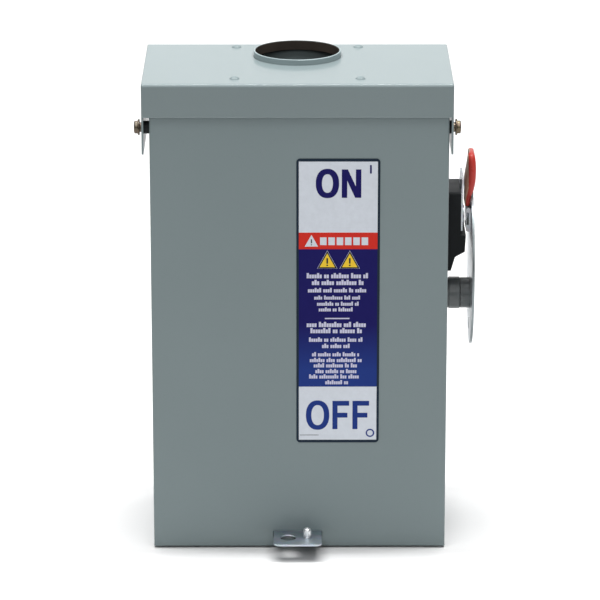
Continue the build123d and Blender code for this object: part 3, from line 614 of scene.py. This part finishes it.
def make_hinge_screws():
    """The two flanged hex screws on which the door turns."""
    low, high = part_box("hinge_screws")
    y, z = (low.y + high.y) / 2, (low.z + high.z) / 2
    radius = (high.z - low.z) / 2
    washer_low, washer_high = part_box("hinge_washers")
    for name, side, seat, end in (("hinge_screw_left", -1, washer_low.x, low.x),
                                  ("hinge_screw_right", 1, washer_high.x, high.x)):
        bm = bmesh.new()
        centre = Vector((seat, y, z))
        tall = abs(end - seat)
        profile = [(0.0, 0.0), (0.0, radius * 0.96), (tall * 0.14, radius), (tall * 0.30, radius * 0.98),
                   (tall * 0.34, radius * 0.84), (tall * 0.80, radius * 0.82), (tall * 0.93, radius * 0.74),
                   (tall, radius * 0.52), (tall, radius * 0.2), (tall * 0.86, radius * 0.14),
                   (tall * 0.84, 0.0)]
        lathe(bm, profile, centre, (side, 0, 0), 48)
        flatten_hex(bm, centre, tall, radius)
        foot = -abs(seat - side * HINGE_SHANK_END)
        shank = [(0.0, 0.0), *threads(-0.0002, foot, HINGE_SHANK_RADIUS), (foot, 0.0)]
        lathe(bm, shank, centre, (side, 0, 0), 24)
        new_piece(name, bm, BRASSY, "enclosure", 32, ("hinge_screws",))


def make_hasp_screw():
    """A smooth captive screw with a rounded crown, a small dimple in it and a threaded foot."""
    low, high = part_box("hasp_screw")
    centre = Vector(((low.x + high.x) / 2, (low.y + high.y) / 2, low.z))
    tall = high.z - low.z
    radius = (high.x - low.x) / 2
    bm = bmesh.new()
    profile = [(0.0, 0.0), (0.0, radius * 0.7), *threads(0.0003, 0.0027, radius, 0.0008, 0.0003),
               (0.0029, radius), (tall - 0.0020, radius), (tall - 0.0012, radius * 0.93),
               (tall - 0.0006, radius * 0.80), (tall - 0.0002, radius * 0.60), (tall, radius * 0.32),
               (tall - 0.0003, radius * 0.24), (tall - 0.0012, radius * 0.22), (tall - 0.0012, 0.0)]
    lathe(bm, profile, centre, (0, 0, 1), 40)
    new_piece("hasp_lock_screw", bm, BRIGHT_ZINC, "lock_screw", 40, ("hasp_screw",))


def arc(x, y, radius, start, end, steps=8):
    angles = [start + (end - start) * n / steps for n in range(steps + 1)]
    return [(x + radius * cos(angle), y + radius * sin(angle)) for angle in angles]


def grip_section(face, thick, wide, lean):
    """Outline in XY of the grip: straight outer face, round front rim and a web that slants inward."""
    radius, corner = thick / 2, thick * 0.42
    inner = face - thick * 0.84 - lean
    front, back = -wide + radius, wide - corner
    points = arc(face - radius, front, radius, -pi, 0.0, 14)
    points += [(face, front + (back - front) * share) for share in (0.25, 0.5, 0.75)]
    points += arc(face - corner, back, corner, 0.0, pi / 2)
    points += arc(inner + corner, back, corner, pi / 2, pi)
    slant = front + abs(face - thick - inner) * 1.6 + 0.0006
    points += [(inner, back + (slant - back) * share) for share in (0.35, 0.7, 1.0)]
    return points


def make_grip():
    """Dipped red grip: a paddle with a round front rim, narrower and closer in at its foot."""
    low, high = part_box("handle_grip")
    middle_y = (low.y + high.y) / 2
    half = (high.y - low.y) / 2
    tall = high.z - low.z
    # share of height, how far in the outer face stands, thickness, share of half width, lean of the web
    stations = (
        (0.000, 0.0055, 0.0024, 0.60, 0.0004), (0.015, 0.0048, 0.0038, 0.70, 0.0006),
        (0.060, 0.0045, 0.0042, 0.76, 0.0007), (0.160, 0.0039, 0.0048, 0.80, 0.0008),
        (0.230, 0.0028, 0.0053, 0.84, 0.0012), (0.270, 0.0022, 0.0055, 0.86, 0.0019),
        (0.400, 0.0009, 0.0058, 0.93, 0.0029), (0.460, 0.0005, 0.0059, 0.96, 0.0031),
        (0.560, 0.0001, 0.0062, 0.99, 0.0026), (0.720, 0.0000, 0.0064, 1.00, 0.0013),
        (0.850, 0.0004, 0.0064, 0.97, 0.0001), (0.930, 0.0009, 0.0060, 0.90, 0.0000),
        (0.970, 0.0015, 0.0050, 0.77, 0.0000), (0.990, 0.0022, 0.0036, 0.60, 0.0000),
        (0.999, 0.0029, 0.0022, 0.38, 0.0000))
    bm = bmesh.new()
    rings = []
    for share, inset, thick, wide, lean in stations:
        rings.append([bm.verts.new((x, middle_y + y, low.z + share * tall))
                      for x, y in grip_section(high.x - inset, thick, wide * half, lean)])
    skin(bm, rings)
    piece = new_piece("grip_shell", bm, RED, "handle", 60, ("handle_grip",))
    # painted reflection: faces of the inner web take the pinkish-brown copy
    piece.data.materials.append(RED_WEB_REFLECTION)
    for face in piece.data.polygons:
        if face.normal.x < -0.6 and -0.85 < (face.center.y - middle_y) / half:
            face.material_index = 1
    smooth = piece.modifiers.new("smooth", "SUBSURF")
    smooth.levels = smooth.render_levels = 1


def rounded_slot(low_x, high_x, low_z, high_z, radius):
    """Points of a rectangle in XZ with round corners, from its lower right corner round."""
    points = []
    corners = rectangle(low_x + radius, high_x - radius, low_z + radius, high_z - radius)
    for turn, (x, z) in enumerate(corners[1:] + corners[:1]):
        points += arc(x, z, radius, (turn - 1) * pi / 2, turn * pi / 2, 6)
    return points


def make_neck():
    """Short plated stiffener under the grip with a deep slot in its front end."""
    low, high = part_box("handle_neck")
    slot_depth = 0.012
    outline = rounded_slot(low.x, high.x, low.z, high.z, 0.0016)
    slot = rounded_slot(low.x + 0.0006, low.x + 0.0022, low.z + 0.0054, low.z + 0.0156, 0.0007)
    bm = bmesh.new()
    loops = ((outline, high.y), (outline, low.y), (slot, low.y), (slot, low.y + slot_depth))
    rings = [[bm.verts.new((x, y, z)) for x, z in points] for points, y in loops]
    skin(bm, rings)
    new_piece("neck_stiffener", bm, NECK_ZINC, "handle", 35, ("handle_neck",))


# ------------------------------------------------------------ studio, camera

PAPER = 0.86


def make_studio():
    """A seamless white sweep: pale floor that curves up behind the object."""
    depth, width, rise, bend, near = 3.9, 4.0, 3.2, 0.8, -3.4
    profile = [(near, 0.0), *arc(depth - bend, bend, bend, -pi / 2, 0.0, 12), (depth, rise)]
    bm = bmesh.new()
    left = [bm.verts.new((-width, y, FLOOR_Z + z)) for y, z in profile]
    right = [bm.verts.new((width, y, FLOOR_Z + z)) for y, z in profile]
    for n in range(len(profile) - 1):
        bm.faces.new((left[n], right[n], right[n + 1], left[n + 1]))
    mesh = bpy.data.meshes.new("sweep")
    bm.to_mesh(mesh)
    bm.free()
    mesh.shade_smooth()
    sweep = bpy.data.objects.new("sweep", mesh)
    bpy.context.scene.collection.objects.link(sweep)
    n = Nodes("studio_paper")
    colour = n.mix(n.between(n.noise(2.0), 0.0, 1.0), (PAPER,) * 3, (PAPER * 1.02,) * 3)
    n.finish(colour, n.between(n.noise(5.0), 0.75, 0.85), n.bump(n.noise(300.0), 0.02, 0.0001))
    mesh.materials.append(n.material)


def soft_light(name, place, target, size, power):
    """A rectangular area light at a place, turned to a target."""
    data = bpy.data.lights.new(name, "AREA")
    data.shape = "RECTANGLE"
    data.size, data.size_y = size
    data.energy = power
    light = bpy.data.objects.new(name, data)
    light.location = place
    light.rotation_euler = (Vector(target) - Vector(place)).to_track_quat("-Z", "Y").to_euler()
    bpy.context.scene.collection.objects.link(light)


STRIP = 28               # watts of the narrow light over the hood
STRIP_Y = -0.073
STRIP_DEPTH = 0.09
OVERHEAD = 14.5
OVERHEAD_Y = -0.7
FRONT_LIGHT = 8
FRONT_Y = -1.9
FRONT_Z = 1.1
WASH = 92                # watts on the sweep behind the box
AIR = 0.1


def make_lights():
    """A strip and a softbox overhead, a softbox in front, a wash on the sweep and a little air."""
    soft_light("overhead_strip", (0.0, STRIP_Y, 1.5), (0, STRIP_Y, 0), (1.6, STRIP_DEPTH), STRIP)
    soft_light("overhead_softbox", (0.0, OVERHEAD_Y, 1.6), (0, -0.15, 0), (1.8, 0.8), OVERHEAD)
    soft_light("front_softbox", (0.0, FRONT_Y, FRONT_Z), (0, 0, 0.1), (1.6, 0.8), FRONT_LIGHT)
    soft_light("backdrop_wash", (0.0, 1.3, 2.4), (0, 3.2, 0.0), (3.4, 1.2), WASH)
    world = bpy.data.worlds.new("studio_air")
    world.use_nodes = True
    background = world.node_tree.nodes["Background"]
    background.inputs["Color"].default_value = (1.0, 1.0, 1.0, 1.0)
    background.inputs["Strength"].default_value = AIR
    bpy.context.scene.world = world


def make_camera():
    """Long lens from the front, a little above the top, as in a catalogue picture."""
    data = bpy.data.cameras.new("camera")
    data.sensor_width = 36.0
    data.lens = 217.7
    camera = bpy.data.objects.new("camera", data)
    camera.location = (-0.0038, -2.835, 0.8476)
    camera.rotation_euler = (radians(90 - 17.09), 0.0, radians(-0.121))
    bpy.context.scene.collection.objects.link(camera)
    bpy.context.scene.camera = camera


make_camera()
make_studio()
make_lights()
bpy.context.scene.view_settings.view_transform = "Standard"
dress_frame()
make_label()
make_hinge_screws()
make_hasp_screw()
make_grip()
make_neck()
